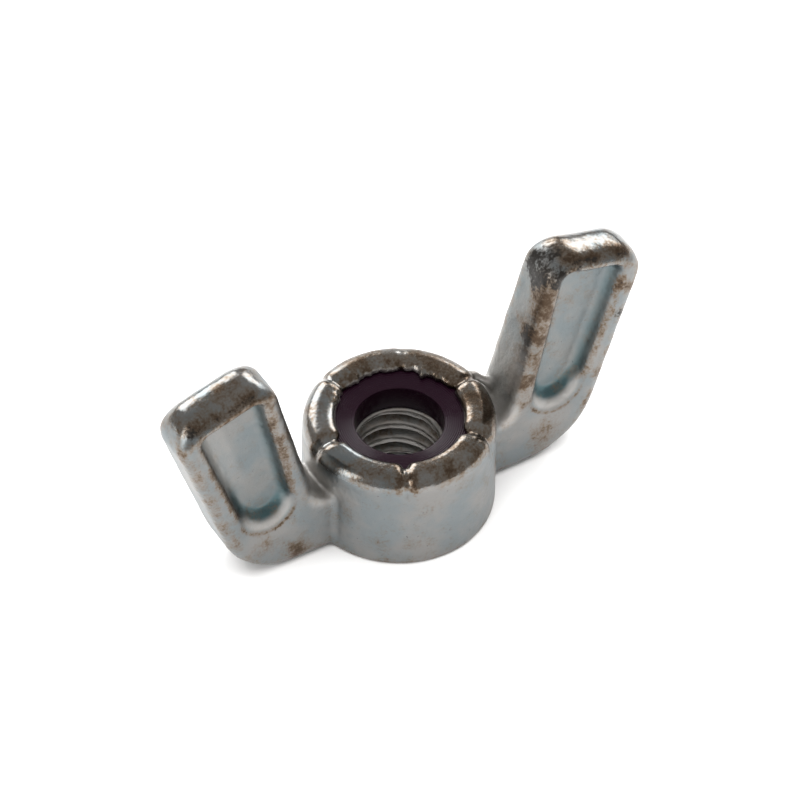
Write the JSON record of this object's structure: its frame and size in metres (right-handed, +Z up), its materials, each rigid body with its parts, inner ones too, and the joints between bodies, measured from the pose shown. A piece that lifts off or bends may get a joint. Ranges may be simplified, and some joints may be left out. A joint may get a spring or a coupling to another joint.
{
  "type": "wing nut",
  "caption": "Wing nut with two upright wings and a nylon locking ring crimped into the top of its threaded hub.",
  "frame": {"origin": "centre of the hub's base, the face that bears on the work", "axes": "+Z up the bolt's axis towards the locking ring, +X through both wings, +Y across the wings' faces"},
  "size_m": [0.0318, 0.0118, 0.016],
  "materials": {
    "zinc_plated_steel": "bright zinc plating over a rough casting, grey with brown and dark stains on its edges",
    "nylon": "moulded nylon, very dark aubergine, slightly glossy, with fine turned rings"
  },
  "bodies": {
    "root": {"nut_body": "zinc_plated_steel", "nylon_insert": "nylon"}
  },
  "joints": []
}
